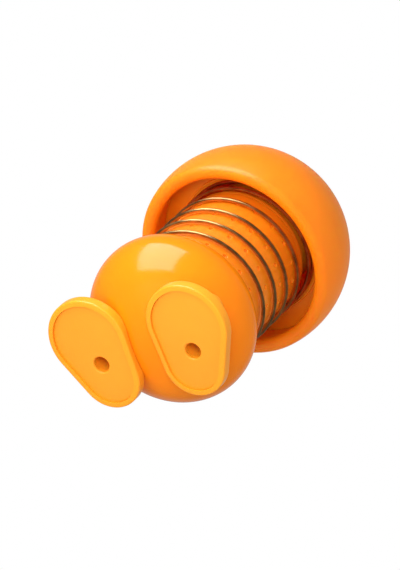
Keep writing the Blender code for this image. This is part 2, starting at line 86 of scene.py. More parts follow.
# ---- Sizes that the frame's boxes don't give ---------------------------------------
GAP = 0.0003                 # between pieces that touch
NECK_BORE = 0.0292
NECK_WIDE_BORE = 0.0322
NECK_FOOT_Z = 0.0330
NECK_STEP_Z = 0.0361
BARREL_BORE = 0.0264
BARREL_TOP_BORE = 0.0250
BARREL_WALL_RADIUS = 0.0284
COLLAR_FOOT_Z = 0.0400
COLLAR_TOP_Z = 0.0412
PLUG_RADIUS = 0.0319
PLUG_FOOT_Z = 0.0364
WELL_FLOOR_Z = 0.0394
BARREL_STEP_Z = 0.0716
DIMPLE_RING_Z = (0.0467, 0.0587, 0.0707, 0.0827)
SEAL_RADIUS = 0.03135
CUP_RADIUS = 0.0240
CUP_WALL = 0.0020
PAD_RADIUS = 0.0095
PAD_THICKNESS = 0.0012
PAD_RIB = 0.00018             # half the height of a grip rib
BOSS_RADIUS = 0.0034
BOSS_FOOT_Z = 0.0155
BOSS_TOP_Z = 0.0270
SCREW_HOLE = 0.00175
SCREW_RADIUS = 0.00145
SCREW_HEAD_HEIGHT = 0.0018
SCREW_RECESS = (0.0006, 0.0020)   # width and twice the depth of the cross
THREAD_PITCH = 0.0009
THREAD_DEPTH = 0.00035
SLEEVE_BORE = 0.0232
SLEEVE_FLANGE = 0.0020
SLEEVE_FLANGE_BORE = 0.0100
SLEEVE_SCREW_CIRCLE = 0.0150
SLEEVE_SCREWS = 3
BLADE_RING_BORE = 0.0222
BLADE_BARS = 3
DOME_Z = 0.0942
LIP_START = radians(12)
RING_GROOVE_RADIUS = 0.0412
RING_GROOVE_Z = (0.0994, 0.1024)
RING_LEDGE = 0.0010
GUIDE_PLAY = 0.0005          # between the guide ring and the barrel
GUIDE_COLLAR = 0.0015
LOCATOR_PLAY = 0.0006        # between the spring and the rib round it
LOCATOR_WALL = 0.00085
FLAT_TURNS = 0.60            # level wire at each end of the spring
RAMP_TURNS = 0.40
ACTIVE_TURNS = 4.91
COIL_START = radians(98)
COIL_POINTS_IN_TURN = 48
DOME_STRAIGHT_RADIUS = 0.0403
TOE_CENTRE = (0.0248, -0.0066)
TOE_RADIUS = 0.0157
HEEL_CENTRE = (0.0212, 0.0104)
HEEL_RADIUS = 0.0115
ANKLE_INSET = 0.0070
SPIGOT_RADIUS = 0.0050
SPIGOT_TOP_Z = 0.0152
FOOT_SEAT_Z = 0.0126
RIM_ROUNDING = 0.0003
PLATE_ROUNDING = 0.0002
HOLE_FLARE = 0.0008
SIDES = (("left", 1), ("right", -1))   # the figure's own left is at +X

ROUND_STEPS = 160            # facets round the ball and the dome
TUBE_STEPS = 128
SMALL_STEPS = 48
WELD = 1e-7
TOES = Vector((0.012, -0.030, 0.018))
MIDDLE = Vector((0, 0, 0.05))
GLOW_EDGE, GLOW_CORE = radians(45), radians(15)


# ---- Settings that a user would change ---------------------------------------------
def length(name, description, default):
    return bpy.props.FloatProperty(name=name, description=description, default=default,
                                   min=0.0, precision=5, subtype="DISTANCE", unit="LENGTH")


def angle(name, description, degrees):
    return bpy.props.FloatProperty(name=name, description=description, default=radians(degrees),
                                   subtype="ANGLE", unit="ROTATION")


def colour(name, description, default):
    return bpy.props.FloatVectorProperty(name=name, description=description, default=default,
                                         size=3, min=0.0, max=1.0, subtype="COLOR")


def strength(name, description, default):
    return bpy.props.FloatProperty(name=name, description=description, default=default, min=0.0)


class SlicerBody(bpy.types.PropertyGroup):
    """Sizes of the ball, the feet and the cup."""
    ball_radius: length("Ball Radius", "Widest radius of the lower ball", BALL_HIGH.x)
    ball_half_height: length("Ball Half Height", "From the ball's centre to its bottom", 0.0256)
    ball_z: length("Ball Centre", "Height of the ball's centre over the soles", 0.0282)
    wall: length("Ball Wall", "Thickness of the ball's shell", 0.0024)
    foot_thickness: length("Foot Thickness", "Height of a foot's slab", 0.0050)
    foot_rounding: length("Foot Rounding", "Radius along a foot's edges", 0.0008)
    sole_rim: length("Sole Rim", "Width of the rim round the sole plate", 0.0029)
    sole_hole: length("Sole Hole Radius", "Radius of the screw hole in a sole", 0.0035)
    hole_x: length("Hole Spacing", "From the figure's axis to a sole's hole, sideways", 0.0230)
    hole_y: length("Hole Setback", "From the figure's axis to a sole's hole, heelwards", 0.0049)

    def hole(self, sign):
        """Where one foot's screw stands."""
        return sign * self.hole_x, self.hole_y


class SlicerBarrel(bpy.types.PropertyGroup):
    """Sizes of the barrel and the spring."""
    dimple_radius: length("Dimple Radius", "Radius of the barrel's small dimples", 0.0010)
    dimple_depth: length("Dimple Depth", "Depth of the barrel's small dimples", 0.0010)
    dimples_in_ring: bpy.props.IntProperty(name="Dimples In Ring", default=20, min=3,
                                           description="Dimples in one ring round the barrel")
    spring_radius: length("Spring Radius", "Axis to the middle of the spring's wire", 0.0300)
    wire_radius: length("Wire Radius", "Radius of the spring's wire", 0.00085)


class SlicerHead(bpy.types.PropertyGroup):
    """Sizes of the dome and the blades."""
    dome_radius: length("Dome Radius", "Outer radius of the dome", DOME_HIGH.z - DOME_Z)
    dome_wall: length("Dome Wall", "Thickness of the dome's shell", 0.0025)
    lip_radius: length("Lip Radius", "Radius of the rolled lip under the dome", 0.0031)
    blade_thickness: length("Blade Thickness", "Thickness of a steel blade", 0.0007)
    blade_edge: length("Blade Edge", "Height of the ground edge under a blade", 0.0012)


class SlicerFinishes(bpy.types.PropertyGroup):
    """Colours and gloss."""
    shell_orange: colour("Shell Orange", "Polished ball and dome", (0.95, 0.235, 0.003))
    barrel_orange: colour("Barrel Orange", "Barrel and guide ring", (0.95, 0.225, 0.004))
    foot_orange: colour("Foot Orange", "Feet and cup", (0.96, 0.34, 0.014))
    sole_orange: colour("Sole Orange", "Plates in the soles", (0.95, 0.31, 0.014))
    spring_bronze: colour("Spring Bronze", "Spring wire", (0.62, 0.37, 0.14))
    steel: colour("Steel", "Blades, screws and washer", (0.62, 0.62, 0.60))
    rubber: colour("Rubber", "Seal and bumper", (0.02, 0.02, 0.02))
    silicone: colour("Silicone", "Pad in the cup", (0.78, 0.75, 0.68))
    shell_roughness: bpy.props.FloatProperty(name="Shell Roughness", default=0.13, min=0.0,
                                             max=1.0, subtype="FACTOR",
                                             description="Roughness of the polished shells")


class SlicerStage(bpy.types.PropertyGroup):
    """Camera, lights and floor."""
    azimuth: angle("Azimuth", "Where the camera stands round the figure", 61.66)
    elevation: angle("Elevation", "Height of the camera, below the soles' plane", -51.03)
    roll: angle("Roll", "Turn of the camera about its line of sight", 46.29)
    shift_right: length("Shift Right", "From the ball to the middle of the view", 0.01116)
    shift_up: length("Shift Up", "From the ball to the middle of the view", 0.01387)
    distance: length("Distance", "Camera to the middle of the view", 2.20)
    view_height: length("View Height", "Height of what the camera takes in", 0.2366)
    background: strength("Background", "White behind the object", 1.0)
    ambient: strength("Ambient", "Soft light from all round", 0.62)
    backdrop_glow: strength("Backdrop Glow", "White that shows in the gloss at the edges", 0.40)
    room_glow: strength("Room Glow", "What the rest of the room shows in the gloss", 0.12)
    overhead_power: strength("Overhead Power", "Watts of the softbox over the toes", 2.2)
    overhead_roll: angle("Overhead Roll", "Turn of that softbox about its own axis", -92.3)
    side_power: strength("Side Power", "Watts of the softbox beside the camera", 3.2)
    front_power: strength("Front Power", "Watts of the softbox that looks into the dome", 3.8)
    rear_power: strength("Rear Power", "Watts of the softbox behind the figure", 1.5)


# ---- Modelling helpers -------------------------------------------------------------
def deselect_all():
    if bpy.context.object and bpy.context.object.mode != "OBJECT":
        bpy.ops.object.mode_set(mode="OBJECT")
    bpy.ops.object.select_all(action="DESELECT")


def choose(piece):
    """Make one object the only selected one, and the active one."""
    deselect_all()
    piece.select_set(True)
    bpy.context.view_layer.objects.active = piece


def edit(piece):
    choose(piece)
    bpy.ops.object.mode_set(mode="EDIT")
    bpy.ops.mesh.select_mode(type="FACE")
    bpy.ops.mesh.select_all(action="DESELECT")


def select_everything():
    bpy.ops.mesh.select_all(action="SELECT")


def leave_edit():
    bpy.ops.object.mode_set(mode="OBJECT")


def pick_faces(test):
    """Select in edit mode the faces that pass a test."""
    mesh = bpy.context.object.data
    form = bmesh.from_edit_mesh(mesh)
    for face in form.faces:
        face.select_set(test(face))
    form.select_flush_mode()
    bmesh.update_edit_mesh(mesh)


def sweep(start, end, steps):
    """Angles from one to another, both ends included."""
    return [start + (end - start) * i / steps for i in range(steps + 1)]


def arc(centre, radius, start, end, steps):
    """Points on a circle."""
    return [(centre[0] + radius * cos(a), centre[1] + radius * sin(a))
            for a in sweep(start, end, steps)]


def ellipse_arc(radius, half_height, z, start, end, steps):
    """(radius, z) points on an upright ellipse about the Z axis."""
    return [(max(0.0, radius * cos(a)), z + half_height * sin(a))
            for a in sweep(start, end, steps)]


def ellipse_angle(half_height, z, at_z):
    """The angle at which such an ellipse reaches a height."""
    share = (at_z - z) / half_height
    return atan2(share, sqrt(1 - share ** 2))


def rounded(corners, steps=5):
    """Profile points from (radius, z, fillet) corners: a fillet above 0 becomes an arc."""
    points = []
    for i, (x, z, fillet) in enumerate(corners):
        here = Vector((x, z))
        if not fillet:
            points.append((x, z))
            continue
        before = Vector(corners[i - 1][:2]) - here
        after = Vector(corners[(i + 1) % len(corners)][:2]) - here
        half = before.angle(after) / 2
        centre = here + (before.normalized() + after.normalized()).normalized() * fillet / sin(half)
        first = here + before.normalized() * fillet / tan(half) - centre
        last = here + after.normalized() * fillet / tan(half) - centre
        bend = first.angle_signed(last)
        for step in range(steps + 1):
            turn_by = Matrix.Rotation(-bend * step / steps, 2)
            points.append(tuple(centre + turn_by @ first))
    return points


def turn(name, points, steps=TUBE_STEPS, closed=False):
    """Draw a profile by extruding a point along it, then spin it round the Z axis."""
    deselect_all()
    bpy.ops.mesh.primitive_plane_add(size=GAP)
    piece = bpy.context.object
    piece.name = name
    piece.data.name = name
    bpy.ops.object.mode_set(mode="EDIT")
    bpy.ops.mesh.select_mode(type="VERT")
    select_everything()
    bpy.ops.mesh.merge(type="CENTER")
    path = [Vector((x, 0, z)) for x, z in points]
    if closed:
        path.append(path[0])
    bpy.ops.transform.translate(value=path[0])
    for here, following in zip(path, path[1:]):
        bpy.ops.mesh.extrude_region_move(TRANSFORM_OT_translate={"value": following - here})
    select_everything()
    bpy.ops.mesh.remove_doubles(threshold=WELD)
    bpy.ops.mesh.spin(steps=steps, angle=2 * pi, center=(0, 0, 0), axis=(0, 0, 1))
    select_everything()
    bpy.ops.mesh.remove_doubles(threshold=WELD * 10)
    bpy.ops.mesh.normals_make_consistent(inside=False)
    leave_edit()
    return piece


def tube(name, corners, steps=5):
    """A ring or tube from the (radius, z, fillet) corners of its section."""
    return turn(name, rounded(corners, steps), closed=True)


def move_mesh(piece, offset):
    """Shift the mesh and leave the object at the origin."""
    edit(piece)
    select_everything()
    bpy.ops.transform.translate(value=offset)
    leave_edit()


def rotate_mesh(piece, degrees, axis="Z", centre=(0, 0, 0)):
    """Turn the mesh anticlockwise and leave the object unturned."""
    edit(piece)
    select_everything()
    bpy.ops.transform.rotate(value=-radians(degrees), orient_axis=axis, center_override=centre)
    leave_edit()


def settled(name):
    """Name the shape just added and take its place into its mesh."""
    piece = bpy.context.object
    piece.name = name
    bpy.ops.object.transform_apply(location=True, rotation=True, scale=True)
    return piece


def rod(name, radius, z_low, z_high, x=0.0, y=0.0, steps=SMALL_STEPS):
    """An upright round rod."""
    deselect_all()
    bpy.ops.mesh.primitive_cylinder_add(vertices=steps, radius=radius, depth=z_high - z_low,
                                        location=(x, y, (z_low + z_high) / 2))
    return settled(name)


def block(name, size, z):
    """A box centred on the axis at a height."""
    deselect_all()
    bpy.ops.mesh.primitive_cube_add(size=1, location=(0, 0, z), scale=size)
    return settled(name)


def ellipsoid(name, radius, half_height, z):
    deselect_all()
    bpy.ops.mesh.primitive_uv_sphere_add(segments=TUBE_STEPS, ring_count=TUBE_STEPS // 2, radius=1,
                                         location=(0, 0, z), scale=(radius, radius, half_height))
    return settled(name)


def carve(piece, tool, operation="DIFFERENCE"):
    """Cut or join with a tool, which is then thrown away."""
    choose(piece)
    step = piece.modifiers.new("carve", "BOOLEAN")
    step.operation = operation
    step.solver = "EXACT"
    step.object = tool
    bpy.ops.object.modifier_apply(modifier=step.name)
    bpy.data.objects.remove(tool, do_unlink=True)


def merge_in(piece, tool):
    carve(piece, tool, "UNION")


def add_loose(piece, others):
    """Make several closed shapes one object, without joining their surfaces."""
    choose(piece)
    for other in others:
        other.select_set(True)
    bpy.ops.object.join()


def copy_of(piece, name):
    copy = piece.copy()
    copy.data = piece.data.copy()
    copy.name = name
    bpy.context.scene.collection.objects.link(copy)
    return copy


def sole_slab(name, side, grow, z_low, z_high):
    """Toe disc and heel disc wrapped by their common hull."""
    discs = []
    for centre, radius in ((TOE_CENTRE, TOE_RADIUS), (HEEL_CENTRE, HEEL_RADIUS)):
        discs.append(rod(name, radius + grow, z_low, z_high, side * centre[0], centre[1],
                         steps=TUBE_STEPS))
    add_loose(discs[0], discs[1:])
    edit(discs[0])
    select_everything()
    bpy.ops.mesh.convex_hull()
    select_everything()
    bpy.ops.mesh.dissolve_limited(angle_limit=radians(0.5))
    bpy.ops.mesh.normals_make_consistent(inside=False)
    leave_edit()
    discs[0].name = name
    return discs[0]


def soften_flat_edge(piece, z, width, segments=6):
    """Round off the outline of the flat faces at a height."""
    edit(piece)
    pick_faces(lambda f: abs(f.normal.z) > 0.99 and abs(f.calc_center_median().z - z) < GAP / 2)
    bpy.ops.mesh.region_to_loop()
    bpy.ops.mesh.bevel(offset=width, segments=segments, affect="EDGES", clamp_overlap=False)
    leave_edit()


# ---- Shader helpers ----------------------------------------------------------------
class Wire:
    """A shader socket that takes Python's arithmetic."""

    def __init__(self, finish, socket):
        self.finish = finish
        self.socket = socket

    def __add__(self, other):
        return self.finish.maths("ADD", self, other)

    def __sub__(self, other):
        return self.finish.maths("SUBTRACT", self, other)

    def __rsub__(self, other):
        return self.finish.maths("SUBTRACT", other, self)

    def __mul__(self, other):
        return self.finish.maths("MULTIPLY", self, other)

    __radd__ = __add__
    __rmul__ = __mul__


class Finish:
    """A material and the nodes that make it."""

    def __init__(self, name):
        self.material = bpy.data.materials.new(name)
        self.material.use_nodes = True
        self.tree = self.material.node_tree
        self.shader = self.tree.nodes["Principled BSDF"]

    def feed(self, socket, value):
        if isinstance(value, Wire):
            self.tree.links.new(value.socket, socket)
        elif isinstance(value, (tuple, list)) and len(value) == 3 and socket.type == "RGBA":
            socket.default_value = (*value, 1)
        else:
            socket.default_value = value

    def node(self, kind, settings=None, inputs=None, output=0):
        """Any node: its settings first, then its sockets' values or links."""
        made = self.tree.nodes.new(kind)
        for name, value in (settings or {}).items():
            if name == "stops":
                for stop, (position, shade) in zip(made.color_ramp.elements, value):
                    stop.position = position
                    stop.color = shade
            else:
                setattr(made, name, value)
        for name, value in (inputs or {}).items():
            self.feed(made.inputs[name], value)
        return Wire(self, made.outputs[output])

    def maths(self, operation, first, second=0.0):
        return self.node("ShaderNodeMath", {"operation": operation}, {0: first, 1: second})

    def place(self):
        return self.node("ShaderNodeTexCoord", output="Object")

    def stretched(self, scale, turn_to=(0, 0, 0), source=None):
        return self.node("ShaderNodeMapping", inputs={"Vector": source or self.place(),
                                                      "Scale": scale, "Rotation": turn_to})

    def noise(self, scale, detail=2.0, source=None, rough=0.5):
        return self.node("ShaderNodeTexNoise", inputs={
            "Vector": source or self.place(), "Scale": scale, "Detail": detail,
            "Roughness": rough})

    def ramp(self, value, low, high):
        """0 below low, 1 above high, straight between."""
        return self.node("ShaderNodeMapRange", inputs={"Value": value, "From Min": low,
                                                       "From Max": high})

    def blend(self, share, first, second):
        return self.node("ShaderNodeMix", {"data_type": "RGBA"},
                         {0: share, 6: first, 7: second}, output=2)

    def height(self):
        """Height over the soles' plane."""
        return self.node("ShaderNodeSeparateXYZ", inputs={0: self.place()}, output="Z")

    def bump(self, height, distance):
        return self.node("ShaderNodeBump", inputs={"Height": height, "Distance": distance,
                                                   "Strength": 1.0})

    def apply(self, **inputs):
        """Feed the main shader: base_color becomes Base Color, and so on."""
        for name, value in inputs.items():
            self.feed(self.shader.inputs[name.replace("_", " ").title()], value)
        return self.material


def shade_of(base, factor):
    return tuple(min(1.0, max(0.0, part * factor)) for part in base)


def moulded_plastic(name, base, roughness, coat=0.0, grain=0.0, scuff_below=0.0, glow=0.12):
    """Coloured plastic: faint flow marks, fine skin, dust in the gloss and scuffed rims."""
    finish = Finish(name)
    flow = finish.noise(28.0, 3.0, finish.stretched((1, 1, 2.2)))
    speckle = finish.noise(2600.0, 2.0)
    smear = finish.noise(90.0, 4.0, finish.stretched((1, 1, 0.35)), 0.65)
    tone = finish.blend(finish.ramp(flow, 0.35, 0.7), shade_of(base, 0.965), shade_of(base, 1.03))
    tone = finish.blend(finish.ramp(speckle, 0.66, 0.8) * 0.12, tone, shade_of(base, 0.8))
    gloss = roughness + finish.ramp(smear, 0.45, 0.75) * 0.05 + speckle * 0.02
    skin = finish.noise(520.0, 2.0) * 0.7 + speckle * (0.1 + grain)
    if scuff_below:
        low = 1 - finish.ramp(finish.height(), 0.0, scuff_below)
        scratch = finish.noise(700.0, 3.0, finish.stretched((6.0, 0.5, 1.0), (0, 0, 0.5)))
        marks = low * finish.ramp(scratch, 0.55, 0.7)
        gloss = gloss + marks * 0.16
        tone = finish.blend(marks * 0.25, tone, shade_of(base, 0.86))
        skin = skin - marks * 0.6
    finish.apply(base_color=tone, roughness=gloss, normal=finish.bump(skin, 0.000012),
                 subsurface_weight=glow, subsurface_scale=0.004)
    finish.shader.inputs["Subsurface Radius"].default_value = (1.0, 0.35, 0.1)
    finish.shader.inputs["Coat Weight"].default_value = coat
    finish.shader.inputs["Coat Roughness"].default_value = 0.04
    return finish.material


def drawn_wire(name, base):
    """Spring wire: die lines along the wire, patches of oxide, bright worn crowns."""
    finish = Finish(name)
    along = finish.node("ShaderNodeTexCoord", output="UV")
    lines = finish.noise(60.0, 2.0, finish.stretched((0.4, 1.0, 1.0), source=along))
    patches = finish.noise(160.0, 4.0)
    fine = finish.noise(1500.0, 2.0)
    tone = finish.blend(finish.ramp(patches, 0.38, 0.66), shade_of(base, 0.72), shade_of(base, 1.2))
    tone = finish.blend(finish.ramp(lines, 0.5, 0.75) * 0.3, tone, shade_of(base, 0.5))
    gloss = 0.2 + patches * 0.12 + lines * 0.08
    finish.apply(base_color=tone, roughness=gloss, normal=finish.bump(lines + fine * 0.3, 0.00001))
    finish.shader.inputs["Metallic"].default_value = 1.0
    return finish.material


def brushed_metal(name, base, roughness):
    """Steel with a level brushed grain and faint stains."""
    finish = Finish(name)
    grain = finish.noise(900.0, 3.0, finish.stretched((1.0, 1.0, 40.0)))
    stains = finish.noise(120.0, 3.0)
    tone = finish.blend(finish.ramp(stains, 0.4, 0.75), base, shade_of(base, 0.84))
    gloss = roughness + grain * 0.14 + stains * 0.06
    finish.apply(base_color=tone, roughness=gloss, normal=finish.bump(grain, 0.000008))
    finish.shader.inputs["Metallic"].default_value = 1.0
    return finish.material


def soft_rubber(name, base, roughness):
    """Rubber or silicone: dull skin with fine pores and a dusting."""
    finish = Finish(name)
    pores = finish.noise(1800.0, 3.0)
    dust = finish.noise(140.0, 4.0)
    tone = finish.blend(finish.ramp(dust, 0.5, 0.8) * 0.5, base, shade_of(base, 1.25))
    gloss = roughness + pores * 0.12
    finish.apply(base_color=tone, roughness=gloss, normal=finish.bump(pores, 0.00003))
    return finish.material


MADE = {}


def finish_named(slot):
    """The material for one of the record's slots, made once."""
    if slot not in MADE:
        look = bpy.context.scene.slicer_finishes
        makers = {
            "glossy_orange": lambda: moulded_plastic(slot, tuple(look.shell_orange),
                                                     look.shell_roughness),
            "dome_orange": lambda: moulded_plastic(slot, tuple(look.shell_orange), 0.34,
                                                   glow=0.8),
            "satin_orange": lambda: moulded_plastic(slot, tuple(look.barrel_orange), 0.4, glow=0.3),
            "pale_orange": lambda: moulded_plastic(slot, tuple(look.foot_orange), 0.27,
                                                   coat=0.15, scuff_below=0.0012),
            "sole_orange": lambda: moulded_plastic(slot, tuple(look.sole_orange), 0.38, grain=0.5),
            "spring_bronze": lambda: drawn_wire(slot, tuple(look.spring_bronze)),
            "steel": lambda: brushed_metal(slot, tuple(look.steel), 0.24),
            "blade_steel": lambda: brushed_metal(slot, shade_of(look.steel, 1.15), 0.14),
            "black_rubber": lambda: soft_rubber(slot, tuple(look.rubber), 0.55),
            "orange_rubber": lambda: soft_rubber(slot, shade_of(look.barrel_orange, 0.85), 0.5),
            "silicone": lambda: soft_rubber(slot, tuple(look.silicone), 0.45),
        }
        MADE[slot] = makers[slot]()
    return MADE[slot]


def done(piece, body, node, slot, crease=32, finish=None):
    """Shade a finished piece, give it its finish, tie it to its body and hide its CAD node."""
    choose(piece)
    bpy.ops.object.shade_smooth_by_angle(angle=radians(crease))
    piece.data.materials.clear()
    piece.data.materials.append(finish_named(finish or slot))
    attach(piece, body)
    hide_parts(node)


# ---- Ball, cup and feet ------------------------------------------------------------
def ball_profile(size):
    """From the inner bottom up the inside, over the neck and down the outside."""
    inner_half = size.ball_half_height - size.wall
    shoulder = ellipse_angle(inner_half, size.ball_z, NECK_FOOT_Z)
    mouth = ellipse_angle(size.ball_half_height, size.ball_z, BALL_HIGH.z - GAP)
    inside = ellipse_arc(size.ball_radius - size.wall, inner_half, size.ball_z,
                         -pi / 2, shoulder, 30)
    outside = ellipse_arc(size.ball_radius, size.ball_half_height, size.ball_z,
                          mouth, -pi / 2, 56)
    outer_edge = outside[0][0]
    neck = rounded([(*inside[-1], 0), (NECK_BORE, NECK_FOOT_Z, 0.0004),
                    (NECK_BORE, NECK_STEP_Z, 0.0004), (NECK_WIDE_BORE, NECK_STEP_Z, 0.0002),
                    (NECK_WIDE_BORE, BALL_HIGH.z, 0.0002), (outer_edge, BALL_HIGH.z, 0.0002),
                    (*outside[0], 0)])
    return inside + neck[1:-1] + outside


class MakeBallShell(bpy.types.Operator):
    """Hollow lower ball with its neck and the two holes for the feet"""
    bl_idname = "egg_slicer.ball_shell"
    bl_label = "Ball Shell"

    def execute(self, context):
        size = context.scene.slicer_body
        shell = turn("ball_shell", ball_profile(size), ROUND_STEPS)
        for side, sign in SIDES:
            carve(shell, rod("hole_" + side, SPIGOT_RADIUS + GAP, 0, SPIGOT_TOP_Z,
                             *size.hole(sign)))
        done(shell, "body", "body_bowl", "glossy_orange")
        return {"FINISHED"}


class MakeEggCup(bpy.types.Operator):
    """Cup insert with its screw bosses and the soft pad in its bottom"""
    bl_idname = "egg_slicer.egg_cup"
    bl_label = "Egg Cup"

    def execute(self, context):
        size = context.scene.slicer_body
        top = CUP_HIGH.z
        depth = top - CUP_LOW.z - CUP_WALL
        rim_z = top - CUP_WALL
        outer_radius = CUP_RADIUS + CUP_WALL
        rim = ellipse_angle(depth + CUP_WALL, top, rim_z)
        outer = ellipse_arc(outer_radius, depth + CUP_WALL, top, rim, -pi / 2, 32)
        flange = rounded([(*outer[0], 0), (CUP_HIGH.x, rim_z, 0.0005), (CUP_HIGH.x, top, 0.0007),
                          (0, top, 0)])[1:]
        cup = turn("cup_insert", flange[::-1] + outer)
        for side, sign in SIDES:
            merge_in(cup, rod("boss_" + side, BOSS_RADIUS, BOSS_FOOT_Z, BOSS_TOP_Z,
                              *size.hole(sign)))
        carve(cup, ellipsoid("hollow", CUP_RADIUS, depth, top))
        for side, sign in SIDES:
            carve(cup, rod("screw_hole_" + side, SCREW_HOLE, 0, FOOT_SCREW_HIGH.z + GAP,
                           *size.hole(sign)))
        done(cup, "body", "egg_cup", "pale_orange")
        self.make_pad(top, depth)
        return {"FINISHED"}

    def make_pad(self, top, depth):
        """A dished pad whose upper face has rings of grip ribs."""
        outer = CUP_RADIUS - GAP
        edge = -acos(PAD_RADIUS / outer)
        under = ellipse_arc(outer, depth - GAP, top, edge, -pi / 2, 14)
        over = []
        for i, (radius, z) in enumerate(ellipse_arc(outer, depth - GAP - PAD_THICKNESS, top,
                                                    -pi / 2, edge, 40)):
            over.append((radius, z + PAD_RIB * (1 - cos(i * pi / 4))))
        done(turn("cup_pad_soft", over + under, 96), "body", "cup_pad", "silicone")


class MakeFeet(bpy.types.Operator):
    """Rounded feet with their ankles, sole pockets and deep screw bores"""
    bl_idname = "egg_slicer.feet"
    bl_label = "Feet"

    def execute(self, context):
        size = context.scene.slicer_body
        for side, sign in SIDES:
            self.make_foot(size, side, sign)
        return {"FINISHED"}

    def make_foot(self, size, side, sign):
        foot = sole_slab(side + "_foot_shell", sign, size.sole_rim, 0, size.foot_thickness)
        soften_flat_edge(foot, size.foot_thickness, size.foot_rounding, 8)
        soften_flat_edge(foot, 0, size.foot_rounding, 8)
        self.sink_pocket(foot, size)
        x, y = size.hole(sign)
        merge_in(foot, sole_slab("ankle", sign, -ANKLE_INSET, size.foot_thickness / 2,
                                 FOOT_HIGH.z))
        carve(foot, ellipsoid("ball_room", size.ball_radius + GAP, size.ball_half_height + GAP,
                              size.ball_z))
        merge_in(foot, rod("spigot", SPIGOT_RADIUS, size.foot_thickness / 2, SPIGOT_TOP_Z, x, y))
        carve(foot, rod("bore", size.sole_hole, 0, FOOT_SEAT_Z, x, y))
        carve(foot, rod("hole", SCREW_HOLE, 0, FOOT_HIGH.z, x, y))
        done(foot, "body", side + "_foot", "pale_orange")

    def sink_pocket(self, foot, size):
        """Sink the sole plate's pocket into the flat bottom and round its rim."""
        depth = SOLE_HIGH.z + GAP
        edit(foot)
        pick_faces(lambda f: f.normal.z < -0.99 and abs(f.calc_center_median().z) < GAP / 2)
        bpy.ops.mesh.inset(thickness=size.sole_rim - size.foot_rounding - GAP)
        bpy.ops.mesh.extrude_region_move(TRANSFORM_OT_translate={"value": (0, 0, depth)})
        bpy.ops.mesh.select_all(action="DESELECT")
        bpy.ops.mesh.select_mode(type="EDGE")
        mesh = bpy.context.object.data
        form = bmesh.from_edit_mesh(mesh)
        for rim_edge in form.edges:
            flat = all(abs(v.co.z) < WELD for v in rim_edge.verts)
            if flat and any(abs(f.normal.z) < 0.1 for f in rim_edge.link_faces):
                rim_edge.select_set(True)
        bmesh.update_edit_mesh(mesh)
        bpy.ops.mesh.bevel(offset=RIM_ROUNDING, segments=4, affect="EDGES", clamp_overlap=False)
        leave_edit()


class MakeSoles(bpy.types.Operator):
    """Plates pressed into the soles' pockets, each with a soft-edged screw hole"""
    bl_idname = "egg_slicer.soles"
    bl_label = "Sole Plates"

    def execute(self, context):
        size = context.scene.slicer_body
        for side, sign in SIDES:
            plate = sole_slab(side + "_sole_plate", sign, GAP * 1.5, SOLE_LOW.z, SOLE_HIGH.z)
            soften_flat_edge(plate, SOLE_LOW.z, PLATE_ROUNDING, 3)
            hole, mouth = size.sole_hole, size.sole_hole + HOLE_FLARE
            flare = arc((mouth, SOLE_LOW.z + HOLE_FLARE), HOLE_FLARE, pi, 3 * pi / 2, 8)
            below = SOLE_LOW.z - HOLE_FLARE
            cutter = turn("flared_hole", [(0, SPIGOT_TOP_Z), (hole, SPIGOT_TOP_Z), *flare,
                                          (mouth, below), (0, below)], 64)
            move_mesh(cutter, (*size.hole(sign), 0))
            carve(plate, cutter)
            done(plate, "body", side + "_sole", "sole_orange")
        return {"FINISHED"}


# ---- Screws ------------------------------------------------------------------------
def make_screw(name, low, high):
    """A pan-head screw with a cross recess below and turned threads above."""
    head = (high.x - low.x) / 2
    seat = low.z + SCREW_HEAD_HEIGHT
    root = SCREW_RADIUS - THREAD_DEPTH
    points = [(0, low.z), (head * 0.55, low.z), (head * 0.86, low.z + 0.0003),
              (head, low.z + 0.0008), (head, seat), (SCREW_RADIUS, seat)]
    z = seat + THREAD_PITCH
    while z < high.z - 2.5 * THREAD_PITCH:
        points += [(root, z), (SCREW_RADIUS, z + THREAD_PITCH / 2)]
        z += THREAD_PITCH
    points += [(root, z), (SCREW_RADIUS * 0.4, high.z - 0.0003), (0, high.z)]
    screw = turn(name, points, SMALL_STEPS)
    width, depth = SCREW_RECESS
    for size in ((head, width, depth), (width, head, depth)):
        carve(screw, block("recess", size, low.z))
    move_mesh(screw, ((low.x + high.x) / 2, (low.y + high.y) / 2, 0))
    return screw


class MakeScrews(bpy.types.Operator):
    """Screws in the feet and the screws that hold the plunger sleeve"""
    bl_idname = "egg_slicer.screws"
    bl_label = "Screws"

    def execute(self, context):
        for side, _ in SIDES:
            node = side + "_foot_screw"
            done(make_screw(side + "_sole_screw", *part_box(node)), "body", node, "steel")
        for i in range(1, SLEEVE_SCREWS + 1):
            node = f"plunger_screw_{i}"
            done(make_screw(f"ceiling_screw_{i}", *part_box(node)), "head_unit", node, "steel")
        return {"FINISHED"}


# ---- Barrel unit -------------------------------------------------------------------
def dimple_pins(size):
    """Round-ended cutters for every small dimple, alternate rings half a step round."""
    radius, depth = size.dimple_radius, size.dimple_depth
    lip = radius * 0.15
    outline = [(0, -depth), (radius * 0.5, -depth * 0.94), (radius * 0.86, -depth * 0.72),
               (radius, -depth * 0.4), (radius, -lip), (radius + lip, 0),
               (radius + lip, depth), (0, depth)]
    first = turn("pin", outline, 20)
    rotate_mesh(first, 90, "Y")
    pins = []
    for ring, z in enumerate(DIMPLE_RING_Z):
        for i in range(size.dimples_in_ring):
            turn_by = 2 * pi * (i + ring % 2 / 2) / size.dimples_in_ring
            pin = copy_of(first, "pin")
            pin.data.transform(Matrix.Rotation(turn_by, 4, "Z")
                               @ Matrix.Translation((BARREL_WALL_RADIUS, 0, z)))
            pins.append(pin)
    bpy.data.objects.remove(first, do_unlink=True)
    add_loose(pins[0], pins[1:])
    return pins[0]


